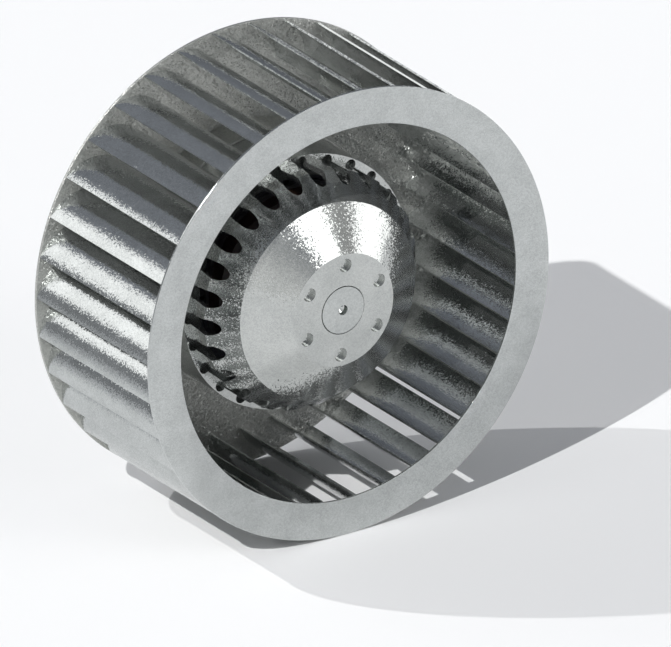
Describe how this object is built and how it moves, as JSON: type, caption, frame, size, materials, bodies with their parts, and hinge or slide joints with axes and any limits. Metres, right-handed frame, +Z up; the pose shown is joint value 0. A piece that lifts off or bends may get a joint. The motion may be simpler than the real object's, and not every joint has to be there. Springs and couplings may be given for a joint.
{
  "type": "centrifugal fan",
  "caption": "Motorised forward-curved centrifugal fan wheel: curved sheet blades between an inlet ring and a back disc, turned by an external-rotor motor in the hub.",
  "frame": {"origin": "centre of the motor's mounting face, on the axis of rotation", "axes": "+Y along the axis out of the mounting face, the inlet faces -Y, +Z up"},
  "size_m": [0.16, 0.0712, 0.16],
  "materials": {
    "galvanised_sheet": "zinc-coated sheet steel with a fine satin grain",
    "cast_aluminium": "die-cast, satin",
    "bright_steel": "ground bright steel",
    "lamination_steel": "stacked electrical steel, edges showing",
    "insulation_plastic": "glass-filled nylon, matt",
    "winding_varnish": "varnished and laced winding",
    "black_rubber": "matt",
    "spring_steel": "phosphated spring steel"
  },
  "bodies": {
    "stator": {"stator_core": "lamination_steel", "front_insulator": "insulation_plastic", "rear_insulator": "insulation_plastic", "winding": "winding_varnish", "stator_flange": "cast_aluminium", "cable_grommet": "black_rubber", "front_bearing_outer_ring": "bright_steel", "front_bearing_shields": "bright_steel", "rear_bearing_outer_ring": "bright_steel", "rear_bearing_shields": "bright_steel", "wave_spring": "spring_steel"},
    "rotor": {"front_ring": "galvanised_sheet", "blades": "galvanised_sheet", "back_plate": "galvanised_sheet", "rotor_bell": "cast_aluminium", "shaft": "bright_steel", "rotor_core": "lamination_steel", "cage_end_rings": "cast_aluminium", "front_bearing_inner_ring": "bright_steel", "rear_bearing_inner_ring": "bright_steel", "shaft_clip": "spring_steel"}
  },
  "joints": [
    {"name": "rotor_spin", "type": "hinge", "parent": "stator", "child": "rotor", "pos_m": [0, 0, 0], "axis": [0, -1, 0], "continuous": true}
  ]
}
